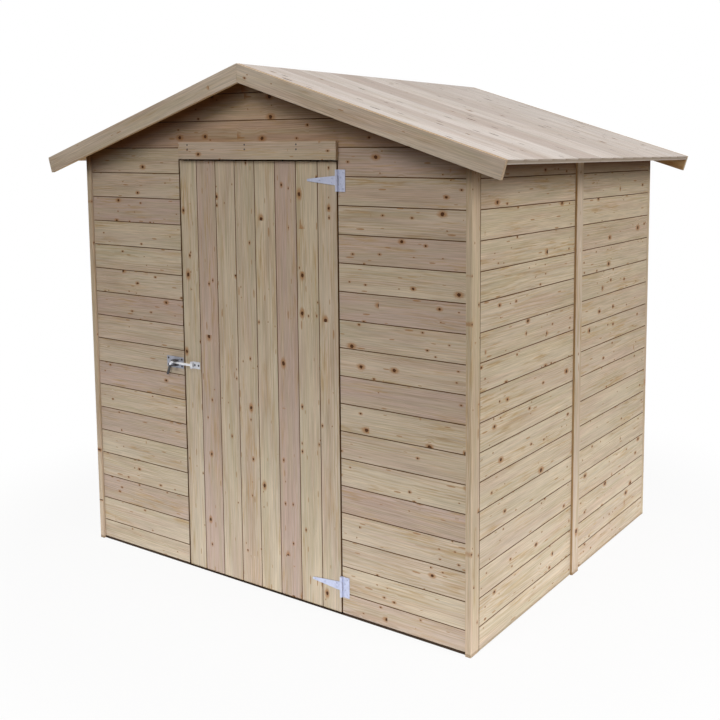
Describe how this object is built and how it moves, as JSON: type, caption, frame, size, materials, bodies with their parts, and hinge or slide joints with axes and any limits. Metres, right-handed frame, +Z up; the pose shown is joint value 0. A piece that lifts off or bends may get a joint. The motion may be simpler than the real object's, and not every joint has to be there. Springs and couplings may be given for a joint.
{
  "type": "wooden garden shed",
  "caption": "Small gabled garden shed of bare horizontal boards on a timber frame, with a boarded roof and a plank door on T-hinges closed by a bar hasp.",
  "frame": {"origin": "on the ground, under the middle of the roof's outline", "axes": "+X to the right along the front, +Y from the front to the back, +Z up"},
  "size_m": [2.304, 1.742, 2.0848],
  "materials": {
    "bare_boards": "planed bare spruce with knots",
    "roof_boards": "planed bare spruce, pale",
    "treated_timber": "dark impregnated timber",
    "galvanised_steel": "bright zinc"
  },
  "bodies": {
    "shed": {"back_batten": "bare_boards", "back_gable": "bare_boards", "back_rails": "bare_boards", "back_studs": "bare_boards", "back_wall_left": "bare_boards", "back_wall_right": "bare_boards", "door_head": "bare_boards", "door_lintel": "bare_boards", "door_stops": "bare_boards", "floor_bearers": "treated_timber", "floor_deck": "bare_boards", "front_gable": "bare_boards", "front_rails": "bare_boards", "front_sill": "treated_timber", "front_studs": "bare_boards", "front_wall_left": "bare_boards", "front_wall_right": "bare_boards", "high_hinge_plate": "galvanised_steel", "king_posts": "bare_boards", "latch_lugs": "galvanised_steel", "latch_plate": "galvanised_steel", "left_back_barge": "bare_boards", "left_back_strip": "bare_boards", "left_front_barge": "bare_boards", "left_front_strip": "bare_boards", "left_joint_batten": "bare_boards", "left_rails": "bare_boards", "left_studs": "bare_boards", "left_wall_back": "bare_boards", "left_wall_front": "bare_boards", "low_hinge_plate": "galvanised_steel", "right_back_barge": "bare_boards", "right_back_strip": "bare_boards", "right_front_barge": "bare_boards", "right_front_strip": "bare_boards", "right_joint_batten": "bare_boards", "right_rails": "bare_boards", "right_studs": "bare_boards", "right_wall_back": "bare_boards", "right_wall_front": "bare_boards", "roof_left": "roof_boards", "roof_purlins": "bare_boards", "roof_right": "roof_boards"},
    "door": {"door_leaf": "bare_boards", "door_ledges": "bare_boards", "door_braces": "bare_boards", "low_hinge_strap": "galvanised_steel", "high_hinge_strap": "galvanised_steel", "latch_keep": "galvanised_steel"},
    "latch_bar": {"latch_bar": "galvanised_steel"}
  },
  "joints": [
    {"name": "door_swing", "type": "hinge", "parent": "shed", "child": "door", "pos_m": [0.412, -0.7951, 0.8825], "axis": [0, 0, 1], "range_deg": [0, 150]},
    {"name": "hasp_swing", "type": "hinge", "parent": "door", "child": "latch_bar", "pos_m": [-0.361, -0.8, 0.877], "axis": [0, 0, 1], "range_deg": [0, 150]}
  ]
}
